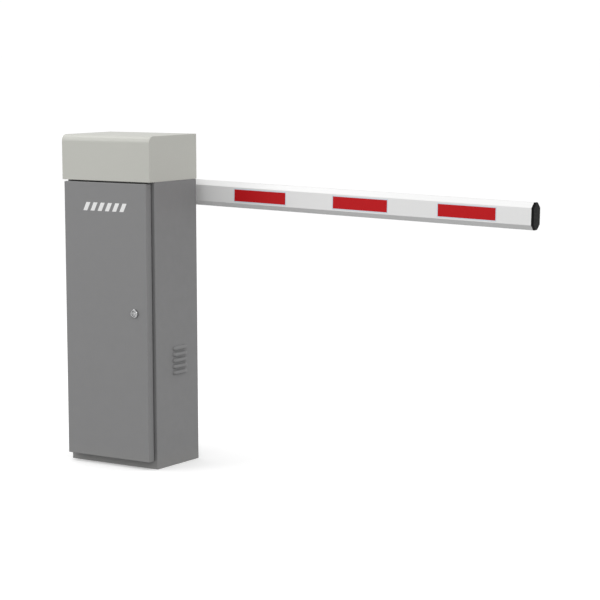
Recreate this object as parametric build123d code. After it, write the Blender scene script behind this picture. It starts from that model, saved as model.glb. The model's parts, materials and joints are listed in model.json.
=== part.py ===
from build123d import *
import os
from math import cos, pi, radians, sin, sqrt

# Parking barrier gate, in millimetres. The origin is the centre of the cabinet's base on the floor, +Z is up,
# +X runs along the closed boom, the door faces -Y and the boom is on the +Y side.

# Cabinet
TOTAL_HEIGHT = 1030
CABINET_WIDTH = 340
CABINET_DEPTH = 216
SHEET = 2
CORNER_BEND = 3
LID_HEIGHT = 140
LID_GAP = 1.5
LID_SHEET = 1.5
LID_SIDE_OVERHANG = 1
LID_FRONT_OVERHANG = 25.5
LID_BEND = 20
LID_RETURN = 18
LID_ANGLE_FOOT = 20
LID_ANGLE_HEIGHT = 26
LID_ANGLE_HALF = 60
OPENING_WIDTH = 280
OPENING_BOTTOM = 60
OPENING_TOP = 858
FLOOR_PLATE = 8
ANCHOR_SPACING_X = 250
ANCHOR_SPACING_Y = 140
ANCHOR_HOLE = 7
CABLE_HOLE_LENGTH = 90
CABLE_HOLE_WIDTH = 56

HALF_W = CABINET_WIDTH / 2
HALF_D = CABINET_DEPTH / 2
LID_BOTTOM = TOTAL_HEIGHT - LID_HEIGHT
SHELL_TOP = LID_BOTTOM - LID_GAP
COLLAR_OVERLAP = 4.5
COLLAR_RISE = 30
COLLAR_BOTTOM = SHELL_TOP - COLLAR_OVERLAP
COLLAR_TOP = LID_BOTTOM + COLLAR_RISE

# Louvres in the right side
LOUVRE_COUNT = 5
LOUVRE_PITCH = 19
LOUVRE_TOP_Z = 367
LOUVRE_Y = 10.5
LOUVRE_LENGTH = 70
LOUVRE_RADIUS = 7.5
LOUVRE_SHEET = 1.2
LOUVRE_MOUTH = 5

# Door
DOOR_MARGIN = 10
DOOR_DEPTH = 24.5
DOOR_GAP = 5.5
DOOR_SHEET = 1.5
DOOR_LIP = 15
DOOR_BOTTOM = 25.5
DOOR_TOP = 885
DOOR_HALF = HALF_W - DOOR_MARGIN
DOOR_REAR_Y = -HALF_D - DOOR_GAP
DOOR_FRONT_Y = DOOR_REAR_Y - DOOR_DEPTH
SEAL_WIDTH = 10
SEAL_SETBACK = 4
HINGE_X = -DOOR_HALF - 6.5
HINGE_Y = DOOR_REAR_Y - 1
HINGE_KNUCKLE = 5.5
HINGE_PIN = 3
KNUCKLE_LENGTH = 30
HINGE_BOTTOMS = (130, 720)

# Lock in the door
LOCK_X = 112
LOCK_Z = 486.7
LOCK_RING = 13
LOCK_RISE = 7
LOCK_BEVEL = 1.8
LOCK_GROOVE = 3
LOCK_BARREL = 9.5
LOCK_PLUG = 6.5
LOCK_STEM = 4.5
LOCK_NUT = 14
LOCK_NUT_HEIGHT = 5
KEY_SLOT_HALF = 0.7
CAM_LENGTH = 45
CAM_HALF_WIDTH = 8
CAM_Y = -HALF_D + SHEET + 1
CAM_THICKNESS = 2.5

# Generic mark on the door: plain slanted bars
MARK_Z = 797
MARK_WIDTH = 170
MARK_HEIGHT = 26
MARK_BARS = 6
MARK_THICKNESS = 0.25

# Main shaft and swing
SHAFT_X = 30
SHAFT_Z = 845
SHAFT_R = 17.5
DROOP = 1.35
SWING = 90 + DROOP
RUNNING = 0.05
BEARING_R = 27
BEARING_WIDTH = 16
BEARING_FLANGE_R = 36
BEARING_BOSS_R = 33
BEARING_BOSS = 18
BEARING_BOLT_REACH = 48
BEARING_EAR = 24
SHAFT_FRONT_Y = -40

# Machine plates, from front to rear
PLATE = 8
FRONT_PLATE_Y = 8
REAR_PLATE_Y = HALF_D - SHEET - PLATE
FRONT_PLATE_BOTTOM = 538
FRONT_PLATE_TOP = 905
REAR_PLATE_BOTTOM = 500
REAR_PLATE_TOP = COLLAR_BOTTOM - 2
PLATE_HALF = 140
SPACER_X = 130
SPACER_ZS = (560, 860)
SPACER_R = 10
WALL_BOLT_X = 134
WALL_BOLT_ZS = (515, 700, 864)
BOLT_R = 4
BOLT_HEAD_R = 7.5
BOLT_HEAD_HEIGHT = 5.3
BOLT_HOLE_R = 4.2

# Linkage
LINK_LENGTH = 250
ROD_ARM = 70
SPRING_ARM = 60
LEVER_Y = 62
LEVER_THICKNESS = 12
LEVER_WIDTH = 28
LEVER_HUB_R = 28
CRANK_HUB_R = 25
HUB_BEHIND = 4
PIN_R = 7
PIN_FRONT_Y = 44
PIN_HEAD = 3
ROD_Y = 48
ROD_WIDTH = 12
ROD_SHANK = 44
ROD_THREAD_LENGTH = 22
ROD_EYE_R = 17
ROD_THREAD_R = 5
ROD_BAR_R = 8.5
OPEN_PIVOT_CLEARANCE = 0.6
OUTPUT_Z = SHAFT_Z - LINK_LENGTH
OUTPUT_R = 14

# Stops and limit switches
BUFFER_R = 12
BUFFER_STUD_R = 6
BUFFER_REACH = 50
BUFFER_FROM_ARM = 36
LIMIT_DISC_R = 28
LIMIT_FLAT = 22
LIMIT_DISC_WIDTH = 6
LIMIT_DISC_YS = (-26, -35)
SWITCH_LEFT = SHAFT_X - 66
SWITCH_WIDTH = 22
SWITCH_HEIGHT = 30
SWITCH_TOP = SHAFT_Z + 4

# Balance springs and their yoke
YOKE_Y = 46
YOKE_THICKNESS = 8
ROLLER_R = 12
SLOT_CLEARANCE = 2.2
YOKE_HALF_WIDTH = 30
YOKE_DROP = 100
YOKE_BAR_HEIGHT = 16
YOKE_BAR_HALF = 34
SPRING_Y = 42
SPRING_SPACING = 40
SPRING_MEAN_R = 12.5
SPRING_WIRE_R = 2.25
SPRING_TURNS = 34
SPRING_BOTTOM = 321
SPRING_PLUG_R = 10
SPRING_PLUG_LENGTH = 24
ANCHOR_TOP = 308
ANCHOR_LEFT = -86
ANCHOR_RIGHT = 42
ANCHOR_PLATE = 8
ANCHOR_DROP = 70
ANCHOR_GUSSET = 6
TENSION_STUD_R = 6
TENSION_FLANGE_R = 16
TENSION_NUT_R = 11
TENSION_NUT_HEIGHT = 10

# Gearbox: a worm beside a worm wheel
MODULE = 2
WHEEL_TEETH = 40
WHEEL_WIDTH = 14
GEAR_Y = -27
WORM_X = SHAFT_X + 50
WORM_TIP_R = 11.6
WORM_ROOT_R = 7.8
WORM_SHAFT_R = 7
WORM_TURNS = 8
BOX_HALF_X = 65
BOX_CENTRE_X = 41
BOX_HALF_Z = 58
BOX_WALL = 10
BOX_FRONT_Y = -54
COVER = 8
COVER_SCREW_R = 3
COVER_SCREW_HEAD_R = 5
COVER_SCREW_HEAD = 6
BOX_CORNER = 8

# Motor under the gearbox
MOTOR_TOP = OUTPUT_Z - BOX_HALF_Z
MOTOR_BOTTOM = 397
MOTOR_R = 50
MOTOR_FIN_R = 55
MOTOR_FINS = 28
MOTOR_BORE = 43
MOTOR_FLANGE_R = 46
MOTOR_FLANGE = 8
FIN_HALF_THICKNESS = 1.2
ROTOR_R = 26.4
AIR_GAP = 0.6
CORE_BOTTOM = MOTOR_BOTTOM + 30
CORE_TOP = MOTOR_TOP - 36
TERMINAL_BOX_BOTTOM = 430
TERMINAL_BOX_TOP = 482
TERMINAL_BOX_DEPTH = 18
TERMINAL_BOX_HALF = 22
GLAND_LENGTH = 10
CABLE_R = 3.5
HANDWHEEL_TOP = 391
HANDWHEEL_BOTTOM = 371
HANDWHEEL_R = 24
HANDWHEEL_LOBES = 6
LOBE_R = 7

# Control gear on a tray at the rear wall
CONTROL_Y = 96
CONTROL_HALF = 130
CONTROL_BOTTOM = 70
CONTROL_TOP = 225
BOARD_Y = CONTROL_Y - 12
BOARD_THICKNESS = 1.6
RELAYS = 4
HEAT_SINK_FINS = 7
TERMINALS = 9

# Boom
BOOM_HEIGHT = 80
BOOM_WIDTH = 45
BOOM_CHAMFER = 15
BOOM_WALL = 2
BOOM_FRONT_Y = 152
BOOM_TAIL = -90
BOOM_END = 1285
CAP_THICKNESS = 7
CAP_BEVEL = 3
CAP_PLUG = 24
STRIP_PITCH = 363
STRIP_MIDDLE = 713
STRIP_LENGTH = 190
STRIP_HEIGHT = 36.5
STRIP_BORDER = 3
STRIP_THICKNESS = 0.25
BRACKET_START = -75
BRACKET_END = 62
BRACKET_HALF = 56
BRACKET_PLATE = 6
BRACKET_DISC_R = 42
BRACKET_HUB_R = 30
CLAMP_BOLT_R = 5
CLAMP_BOLT_S = (-60, 46)
CLAMP_BOLT_OFFSET = 48
CLAMP_NUT_R = 9

HALF_SWING = SWING / 2
BOOM_CENTRE_Y = BOOM_FRONT_Y + BOOM_WIDTH / 2


# Shape helpers

def block(x0, x1, y0, y1, z0, z1):
    """A box between two corners."""
    return Pos((x0 + x1) / 2, (y0 + y1) / 2, (z0 + z1) / 2) * Box(x1 - x0, y1 - y0, z1 - z0)


def rod_y(radius, y0, y1, x=0, z=0):
    """A cylinder along Y from y0 to y1."""
    return Pos(x, (y0 + y1) / 2, z) * Rot(90, 0, 0) * Cylinder(radius, y1 - y0)


def rod_z(radius, z0, z1, x=0, y=0):
    """A cylinder along Z from z0 to z1."""
    return Pos(x, y, (z0 + z1) / 2) * Cylinder(radius, z1 - z0)


def hexagon_y(radius, y0, y1, x=0, z=0):
    """A hexagonal prism along Y from y0 to y1."""
    prism = extrude(RegularPolygon(radius, 6), (y1 - y0) / 2, both=True)
    return Pos(x, (y0 + y1) / 2, z) * Rot(90, 0, 0) * prism


def hexagon_z(radius, z0, z1, x=0, y=0):
    """A hexagonal prism along Z from z0 to z1."""
    prism = extrude(RegularPolygon(radius, 6), (z1 - z0) / 2, both=True)
    return Pos(x, y, (z0 + z1) / 2) * prism


def plate_y(sketch, y0, y1):
    """A sketch drawn in X and Z, as a plate from y0 to y1."""
    return Pos(0, y1, 0) * Rot(90, 0, 0) * extrude(sketch, y1 - y0)


def swung(shape, degrees, x, z):
    """The shape turned about the Y-parallel line through (x, z), positive from +X towards +Z."""
    return Pos(x, 0, z) * Rot(0, -degrees, 0) * shape


def along_boom(shape):
    """A shape drawn with the shaft at the origin and the boom along +X, put in the closed, drooping pose."""
    return swung(shape, -DROOP, SHAFT_X, SHAFT_Z)


def at_angle(distance, degrees, x=SHAFT_X, z=SHAFT_Z):
    """The point at a distance and an angle from (x, z), in X and Z."""
    return x + distance * cos(radians(degrees)), z + distance * sin(radians(degrees))


def bolt_y(x, z, tip_y, seat_y):
    """A hexagon bolt along Y whose head sits on seat_y and whose shank ends at tip_y."""
    way = 1 if seat_y > tip_y else -1
    ends = sorted((seat_y, seat_y + way * BOLT_HEAD_HEIGHT))
    shank = sorted((tip_y, seat_y))
    head = hexagon_y(BOLT_HEAD_R, ends[0], ends[1], x, z)
    return head + rod_y(BOLT_R, shank[0], shank[1], x, z)


def save(name, *solids):
    """Write one sub-part, which is one solid or a group of separate solids."""
    pieces = []
    for solid in solids:
        pieces.extend(solid.solids())
    shape = pieces[0] if len(pieces) == 1 else Compound(children=pieces)
    shape.label = name
    export_step(shape, f"parts/{name}.step")


# Cabinet

def louvre_centres():
    return [LOUVRE_TOP_Z - LOUVRE_PITCH * i for i in range(LOUVRE_COUNT)]


def capsule(radius, z):
    """A louvre's rounded-end roll, centred on the right side's outer face."""
    half = LOUVRE_LENGTH / 2 - LOUVRE_RADIUS
    outline = Line((0, -half - radius), (0, half + radius))
    outline += RadiusArc((0, half + radius), (radius, half), radius)
    outline += Line((radius, half), (radius, -half))
    outline += RadiusArc((radius, -half), (0, -half - radius), radius)
    return Pos(HALF_W, LOUVRE_Y, z) * revolve(make_face(outline), Axis.Y)


def louvre_bulge(z):
    """The outside of a pressed hood, cut off level at its mouth."""
    keep = block(HALF_W - SHEET / 2, HALF_W + 10, -HALF_D, HALF_D, z - LOUVRE_MOUTH, z + 10)
    return capsule(LOUVRE_RADIUS, z) & keep


def cabinet_shell():
    shell = centred_block(HALF_W, HALF_D, 0, SHELL_TOP)
    shell = fillet(shell.edges().filter_by(Axis.Z), CORNER_BEND)
    shell -= block(-HALF_W + SHEET, HALF_W - SHEET, -HALF_D + SHEET, HALF_D - SHEET, -1, SHELL_TOP + 1)
    half = OPENING_WIDTH / 2
    shell -= block(-half, half, -HALF_D - 1, -HALF_D + SHEET + 1, OPENING_BOTTOM, OPENING_TOP)
    shell -= rod_y(SHAFT_R + 8, HALF_D - SHEET - 1, HALF_D + 1, SHAFT_X, SHAFT_Z)
    for x, z in wall_bolt_places():
        shell -= rod_y(BOLT_HOLE_R, HALF_D - SHEET - 1, HALF_D + 1, x, z)
    for z in louvre_centres():
        shell += louvre_bulge(z)
        shell -= capsule(LOUVRE_RADIUS - LOUVRE_SHEET, z)
    return shell


def centred_block(half_x, half_y, z0, z1):
    """A plain block centred on the origin in X and Y."""
    return block(-half_x, half_x, -half_y, half_y, z0, z1)


def base_plate():
    plate = centred_block(HALF_W - SHEET, HALF_D - SHEET, 0, FLOOR_PLATE)
    for x in (-ANCHOR_SPACING_X / 2, ANCHOR_SPACING_X / 2):
        for y in (-ANCHOR_SPACING_Y / 2, ANCHOR_SPACING_Y / 2):
            plate -= rod_z(ANCHOR_HOLE, -1, FLOOR_PLATE + 1, x, y)
    return plate - cable_slot(CABLE_HOLE_LENGTH, CABLE_HOLE_WIDTH, -1, FLOOR_PLATE + 1)


def cable_slot(length, width, z0, z1):
    return Pos(0, 0, z0) * extrude(SlotOverall(length, width), z1 - z0)


def cable_grommet():
    lip = cable_slot(CABLE_HOLE_LENGTH + 12, CABLE_HOLE_WIDTH + 12, FLOOR_PLATE, FLOOR_PLATE + 3)
    lip += cable_slot(CABLE_HOLE_LENGTH, CABLE_HOLE_WIDTH, 1, FLOOR_PLATE)
    return lip - cable_slot(CABLE_HOLE_LENGTH - 8, CABLE_HOLE_WIDTH - 8, 0, FLOOR_PLATE + 4)


def lid_collar():
    half_x = HALF_W - SHEET
    half_y = HALF_D - SHEET
    ring = centred_block(half_x, half_y, COLLAR_BOTTOM, COLLAR_TOP)
    return ring - centred_block(half_x - SHEET, half_y - SHEET, COLLAR_BOTTOM - 1, COLLAR_TOP + 1)


def lid_profile(inset):
    """The lid's side outline in Y and Z, with its front top edge rolled."""
    front = -HALF_D - LID_FRONT_OVERHANG + inset
    rear = HALF_D + LID_SIDE_OVERHANG - inset
    top = TOTAL_HEIGHT - inset
    bend = LID_BEND - inset
    line = Line((rear, LID_BOTTOM), (rear, top))
    line += Line((rear, top), (front + bend, top))
    line += RadiusArc((front + bend, top), (front, top - bend), -bend)
    line += Line((front, top - bend), (front, LID_BOTTOM))
    line += Line((front, LID_BOTTOM), (rear, LID_BOTTOM))
    return make_face(Plane.YZ * line)


def lid():
    half = HALF_W + LID_SIDE_OVERHANG
    outer = extrude(lid_profile(0), half, both=True)
    ends = [edge for edge in outer.edges() if abs(abs(edge.center().X) - half) < 0.01]
    rims = [edge for edge in ends if edge.center().Z > LID_BOTTOM + 1]
    outer = fillet(rims, LID_SHEET)
    shell = outer - extrude(lid_profile(LID_SHEET), half - LID_SHEET, both=True)
    front = -HALF_D - LID_FRONT_OVERHANG + LID_SHEET
    return shell + block(-half + LID_SHEET, half - LID_SHEET, front, front + LID_RETURN,
                         LID_BOTTOM, LID_BOTTOM + LID_SHEET)


def lid_brackets():
    """Angle strips inside the lid, which sit on the collar's top edge."""
    outer = HALF_W + LID_SIDE_OVERHANG - LID_SHEET
    half = LID_ANGLE_HALF
    foot = block(outer - LID_ANGLE_FOOT, outer, -half, half, COLLAR_TOP, COLLAR_TOP + SHEET)
    web = block(outer - SHEET, outer, -half, half, COLLAR_TOP + SHEET, COLLAR_TOP + LID_ANGLE_HEIGHT)
    right = foot + web
    return right, mirror(right, Plane.YZ)


# Door

def door_panel():
    pan = block(-DOOR_HALF, DOOR_HALF, DOOR_FRONT_Y, DOOR_REAR_Y, DOOR_BOTTOM, DOOR_TOP)
    front = [edge for edge in pan.edges() if edge.center().Y < DOOR_FRONT_Y + 1]
    sides = pan.edges().filter_by(Axis.Y)
    pan = fillet(front + list(sides), DOOR_SHEET + 0.3)
    pan -= block(-DOOR_HALF + DOOR_SHEET, DOOR_HALF - DOOR_SHEET, DOOR_FRONT_Y + DOOR_SHEET,
                 DOOR_REAR_Y - DOOR_SHEET, DOOR_BOTTOM + DOOR_SHEET, DOOR_TOP - DOOR_SHEET)
    half = DOOR_HALF - DOOR_LIP
    pan -= block(-half, half, DOOR_REAR_Y - DOOR_SHEET - 1, DOOR_REAR_Y + 1,
                 DOOR_BOTTOM + DOOR_LIP, DOOR_TOP - DOOR_LIP)
    return pan - rod_y(LOCK_BARREL + RUNNING, DOOR_FRONT_Y - 1, DOOR_FRONT_Y + DOOR_SHEET + 1, LOCK_X, LOCK_Z)


def door_seal():
    half = DOOR_HALF - SEAL_SETBACK
    bottom = DOOR_BOTTOM + SEAL_SETBACK
    top = DOOR_TOP - SEAL_SETBACK
    ring = block(-half, half, DOOR_REAR_Y, -HALF_D, bottom, top)
    return ring - block(-half + SEAL_WIDTH, half - SEAL_WIDTH, DOOR_REAR_Y - 1, -HALF_D + 1,
                        bottom + SEAL_WIDTH, top - SEAL_WIDTH)


def hinge_knuckle(z):
    return rod_z(HINGE_KNUCKLE, z, z + KNUCKLE_LENGTH, HINGE_X, HINGE_Y)


def hinge_bore(z):
    return rod_z(HINGE_PIN + RUNNING, z - 1, z + KNUCKLE_LENGTH + 1, HINGE_X, HINGE_Y)


def cabinet_hinge_leaf(z):
    """The lower half of a lift-off hinge, welded to the cabinet's front."""
    leaf = block(HINGE_X, -DOOR_HALF + 2, -HALF_D - 2, -HALF_D, z, z + KNUCKLE_LENGTH)
    return hinge_knuckle(z) + leaf - hinge_bore(z)


def door_hinge_leaf(z):
    """The upper half of a lift-off hinge, welded to the door's side."""
    leaf = block(-DOOR_HALF - 2, -DOOR_HALF, DOOR_FRONT_Y + 4, HINGE_Y, z, z + KNUCKLE_LENGTH)
    return hinge_knuckle(z) + leaf - hinge_bore(z)


def hinge_pin(z):
    return rod_z(HINGE_PIN, z + 1, z + 2 * KNUCKLE_LENGTH - 4, HINGE_X, HINGE_Y)


def turned_y(points, x, z):
    """A turned shape from points of (radius, Y), about the Y-parallel line through (x, z)."""
    outline = make_face(Polyline(points, close=True))
    return Pos(x, 0, z) * revolve(outline, Axis.Y)


def lock_body():
    """The lock's barrel and its bevelled collar, with a groove round the plug."""
    bore = LOCK_PLUG + RUNNING
    front = DOOR_FRONT_Y - LOCK_RISE
    inside = DOOR_REAR_Y + 2
    points = [(bore, inside), (bore, front + LOCK_GROOVE), (bore + 1, front + LOCK_GROOVE),
              (LOCK_RING - 2 * LOCK_BEVEL, front), (LOCK_RING - LOCK_BEVEL, front),
              (LOCK_RING, front + LOCK_BEVEL), (LOCK_RING, DOOR_FRONT_Y),
              (LOCK_BARREL, DOOR_FRONT_Y), (LOCK_BARREL, inside)]
    return turned_y(points, LOCK_X, LOCK_Z)


def lock_nut():
    y = DOOR_FRONT_Y + DOOR_SHEET
    nut = hexagon_y(LOCK_NUT, y, y + LOCK_NUT_HEIGHT, LOCK_X, LOCK_Z)
    return nut - rod_y(LOCK_BARREL + RUNNING, y - 1, y + LOCK_NUT_HEIGHT + 1, LOCK_X, LOCK_Z)


def lock_plug():
    """The turning plug, with its key slot and the stem that carries the cam."""
    face = DOOR_FRONT_Y - LOCK_RISE + LOCK_GROOVE / 3
    inside = DOOR_REAR_Y + 2
    points = [(0, face), (LOCK_PLUG - 1, face), (LOCK_PLUG, face + 1), (LOCK_PLUG, inside), (LOCK_STEM, inside),
              (LOCK_STEM, CAM_Y + CAM_THICKNESS + 1), (0, CAM_Y + CAM_THICKNESS + 1)]
    plug = turned_y(points, LOCK_X, LOCK_Z)
    half = KEY_SLOT_HALF
    return plug - block(LOCK_X - half, LOCK_X + half, face - 1, face + 8, LOCK_Z - 4, LOCK_Z + 4)


def lock_cam():
    """The cam, hanging down in the unlocked position."""
    y0, y1 = CAM_Y, CAM_Y + CAM_THICKNESS
    arm = block(LOCK_X - CAM_HALF_WIDTH, LOCK_X + CAM_HALF_WIDTH, y0, y1, LOCK_Z - CAM_LENGTH, LOCK_Z)
    arm += rod_y(CAM_HALF_WIDTH + 1, y0, y1, LOCK_X, LOCK_Z)
    return arm - rod_y(LOCK_STEM + RUNNING, y0 - 1, y1 + 1, LOCK_X, LOCK_Z)


def door_mark():
    """A plain row of slanted bars, where such a door carries a printed mark."""
    pitch = MARK_WIDTH / MARK_BARS
    lean = MARK_HEIGHT / 2
    top = MARK_Z + MARK_HEIGHT
    bars = []
    for i in range(MARK_BARS):
        left = -MARK_WIDTH / 2 + pitch * i
        right = left + pitch * 0.55
        corners = [(left, MARK_Z), (right, MARK_Z), (right + lean, top), (left + lean, top)]
        bar = make_face(Polyline(corners, close=True))
        bars.append(plate_y(bar, DOOR_FRONT_Y - MARK_THICKNESS, DOOR_FRONT_Y))
    return bars


# Machine frame

def wall_bolt_places():
    return [(x, z) for x in (-WALL_BOLT_X, WALL_BOLT_X) for z in WALL_BOLT_ZS]


def spacer_places():
    return [(x, z) for x in (-SPACER_X, SPACER_X) for z in SPACER_ZS]


def bearing_bolt_places():
    return [(SHAFT_X - BEARING_BOLT_REACH, SHAFT_Z), (SHAFT_X + BEARING_BOLT_REACH, SHAFT_Z)]


def gearbox_bolt_places():
    reach_x = BOX_HALF_X - BOX_WALL / 2
    reach_z = BOX_HALF_Z - BOX_WALL / 2
    return [(BOX_CENTRE_X + x, OUTPUT_Z + z) for x in (-reach_x, reach_x) for z in (-reach_z, reach_z)
            if z > 0]


def front_machine_plate():
    y0, y1 = FRONT_PLATE_Y, FRONT_PLATE_Y + PLATE
    plate = block(-PLATE_HALF, PLATE_HALF, y0, y1, FRONT_PLATE_BOTTOM, FRONT_PLATE_TOP)
    plate = fillet(plate.edges().filter_by(Axis.Y), 12)
    plate -= rod_y(SHAFT_R + 4, y0 - 1, y1 + 1, SHAFT_X, SHAFT_Z)
    plate -= rod_y(OUTPUT_R + 4, y0 - 1, y1 + 1, SHAFT_X, OUTPUT_Z)
    for x, z in spacer_places() + bearing_bolt_places() + gearbox_bolt_places():
        plate -= rod_y(BOLT_HOLE_R, y0 - 1, y1 + 1, x, z)
    for x, z in buffer_places():
        plate -= rod_y(BUFFER_STUD_R + RUNNING, y0 - 1, y1 + 1, x, z)
    return plate


def rear_machine_plate():
    y0, y1 = REAR_PLATE_Y, REAR_PLATE_Y + PLATE
    plate = block(-PLATE_HALF - 6, PLATE_HALF + 6, y0, y1, REAR_PLATE_BOTTOM, REAR_PLATE_TOP)
    plate -= rod_y(SHAFT_R + 4, y0 - 1, y1 + 1, SHAFT_X, SHAFT_Z)
    for x, z in wall_bolt_places() + bearing_bolt_places():
        plate -= rod_y(BOLT_HOLE_R, y0 - 1, y1 + 1, x, z)
    return plate


def plate_spacer(x, z):
    y0, y1 = FRONT_PLATE_Y + PLATE, REAR_PLATE_Y
    return rod_y(SPACER_R, y0, y1, x, z) - rod_y(BOLT_HOLE_R, y0 - 1, y0 + 20, x, z)


def frame_bolts():
    bolts = [bolt_y(x, z, REAR_PLATE_Y + 2, HALF_D) for x, z in wall_bolt_places()]
    bolts += [bolt_y(x, z, FRONT_PLATE_Y + PLATE + 14, FRONT_PLATE_Y) for x, z in spacer_places()]
    for x, z in bearing_bolt_places():
        bolts.append(bolt_y(x, z, FRONT_PLATE_Y + PLATE, FRONT_PLATE_Y - PLATE))
        bolts.append(bolt_y(x, z, REAR_PLATE_Y + PLATE, REAR_PLATE_Y - PLATE))
    for x, z in gearbox_bolt_places():
        bolts.append(bolt_y(x, z, FRONT_PLATE_Y - 14, FRONT_PLATE_Y + PLATE))
    return bolts


def bearing_housing(face_y, way):
    """A two-bolt flanged housing on a plate face, with its boss standing out along way (+1 or -1 in Y)."""
    outline = Circle(BEARING_FLANGE_R) + SlotCenterToCenter(2 * BEARING_BOLT_REACH, BEARING_EAR)
    outline = Pos(SHAFT_X, SHAFT_Z) * outline
    near, far = sorted((face_y, face_y + way * PLATE))
    boss = sorted((face_y, face_y + way * BEARING_BOSS))
    body = plate_y(outline, near, far) + rod_y(BEARING_BOSS_R, boss[0], boss[1], SHAFT_X, SHAFT_Z)
    body -= rod_y(BEARING_R, boss[0] - 1, boss[1] + 1, SHAFT_X, SHAFT_Z)
    for x, z in bearing_bolt_places():
        body -= rod_y(BOLT_HOLE_R, near - 1, far + 1, x, z)
    return body


def shaft_bearing(y0):
    y1 = y0 + BEARING_WIDTH
    ring = rod_y(BEARING_R, y0, y1, SHAFT_X, SHAFT_Z)
    groove = rod_y(BEARING_R - 3, y0 - 1, y0 + 1, SHAFT_X, SHAFT_Z)
    groove -= rod_y(SHAFT_R + 3, y0 - 2, y0 + 2, SHAFT_X, SHAFT_Z)
    ring -= rod_y(SHAFT_R + RUNNING, y0 - 1, y1 + 1, SHAFT_X, SHAFT_Z)
    return ring - groove


# Main shaft and lever

def main_shaft():
    return rod_y(SHAFT_R, SHAFT_FRONT_Y, BOOM_FRONT_Y - BRACKET_PLATE, SHAFT_X, SHAFT_Z)


def lever_plate(reach, tail, hub_r, bore_r, x, z, degrees):
    """A flat lever with a hub at (x, z), a boss at reach and another at -tail, turned to its angle."""
    outline = Circle(hub_r)
    outline += Pos(reach / 2, 0) * Rectangle(reach, LEVER_WIDTH)
    outline += Pos(reach, 0) * Circle(ROD_EYE_R)
    if tail:
        outline += Pos(-tail / 2, 0) * Rectangle(tail, LEVER_WIDTH)
        outline += Pos(-tail, 0) * Circle(ROD_EYE_R - 1)
    lever = plate_y(outline, LEVER_Y, LEVER_Y + LEVER_THICKNESS)
    lever += rod_y(hub_r, LEVER_Y - 2, LEVER_Y + LEVER_THICKNESS + HUB_BEHIND)
    lever -= rod_y(bore_r + RUNNING, LEVER_Y - 3, LEVER_Y + LEVER_THICKNESS + HUB_BEHIND + 1)
    for along in (reach, -tail) if tail else (reach,):
        lever -= rod_y(PIN_R + RUNNING, LEVER_Y - 1, LEVER_Y + LEVER_THICKNESS + 1, along, 0)
    return swung(lever, degrees, x, z)


def rocker_lever():
    return lever_plate(ROD_ARM, SPRING_ARM, LEVER_HUB_R, SHAFT_R, SHAFT_X, SHAFT_Z, -HALF_SWING)


def link_pin(x, z):
    """A headed pin through a lever boss."""
    tail_y = LEVER_Y + LEVER_THICKNESS
    return rod_y(PIN_R, PIN_FRONT_Y, tail_y, x, z) + rod_y(PIN_R + 3, PIN_FRONT_Y - PIN_HEAD, PIN_FRONT_Y, x, z)


def rod_pin_place():
    return at_angle(ROD_ARM, -HALF_SWING)


def spring_pin_place():
    return at_angle(SPRING_ARM, 180 - HALF_SWING)


def spring_roller():
    x, z = spring_pin_place()
    y0, y1 = YOKE_Y + 0.5, YOKE_Y + YOKE_THICKNESS - 0.5
    return rod_y(ROLLER_R, y0, y1, x, z) - rod_y(PIN_R + RUNNING, y0 - 1, y1 + 1, x, z)


def limit_cam(y0, degrees):
    """A switching disc with a flat, clamped on the shaft's front end."""
    y1 = y0 + LIMIT_DISC_WIDTH
    r = LIMIT_DISC_R
    disc = rod_y(r, y0, y1) - block(LIMIT_FLAT, r + 1, y0 - 1, y1 + 1, -r, r)
    disc -= rod_y(SHAFT_R + RUNNING, y0 - 1, y1 + 1)
    return swung(disc, degrees, SHAFT_X, SHAFT_Z)


def limit_switch(y0):
    """A switch beside a cam, with a lever and a roller that rests on the cam."""
    right = SWITCH_LEFT + SWITCH_WIDTH
    body = block(SWITCH_LEFT, right, y0 - 1, y0 + LIMIT_DISC_WIDTH + 1, SWITCH_TOP - SWITCH_HEIGHT, SWITCH_TOP)
    body += block(right, right + 8, y0 + 1, y0 + 5, SWITCH_TOP - 3, SWITCH_TOP - 1)
    return body + rod_y(3, y0 + 1, y0 + 5, right + 10, SWITCH_TOP - 2)


def limit_switches():
    """Two switches, one per cam. The rear one has a foot that reaches back to the front machine plate."""
    rear_y, front_y = LIMIT_DISC_YS
    foot = block(SWITCH_LEFT, SWITCH_LEFT + SWITCH_WIDTH, rear_y + LIMIT_DISC_WIDTH + 1, FRONT_PLATE_Y,
                 SWITCH_TOP - SWITCH_HEIGHT, SWITCH_TOP - 19)
    return limit_switch(rear_y) + foot, limit_switch(front_y)


# Stops

def buffer_places():
    """Beside the rod arm at each end of its swing."""
    return [at_angle(BUFFER_REACH, side * (HALF_SWING + BUFFER_FROM_ARM)) for side in (-1, 1)]


def stop_buffer(x, z):
    y0, y1 = LEVER_Y, LEVER_Y + LEVER_THICKNESS
    return rod_y(BUFFER_R, y0, y1, x, z) - rod_y(BUFFER_STUD_R, y0 - 1, y1 + 1, x, z)


def buffer_stud(x, z):
    collar = rod_y(BUFFER_STUD_R + 3, FRONT_PLATE_Y + PLATE, FRONT_PLATE_Y + PLATE + 8, x, z)
    return rod_y(BUFFER_STUD_R, FRONT_PLATE_Y, LEVER_Y + LEVER_THICKNESS + 3, x, z) + collar


# Connecting rod, crank and gearbox

def rod_end(z, way, bore_r):
    """An eye at z whose shank points along way (+1 up, -1 down)."""
    x = rod_pin_place()[0]
    ends = sorted((z, z + way * ROD_SHANK))
    eye = rod_y(ROD_EYE_R, ROD_Y, ROD_Y + ROD_WIDTH, x, z)
    eye += rod_z(ROD_THREAD_R, ends[0], ends[1], x, ROD_Y + ROD_WIDTH / 2)
    return eye - rod_y(bore_r, ROD_Y - 1, ROD_Y + ROD_WIDTH + 1, x, z)


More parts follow.
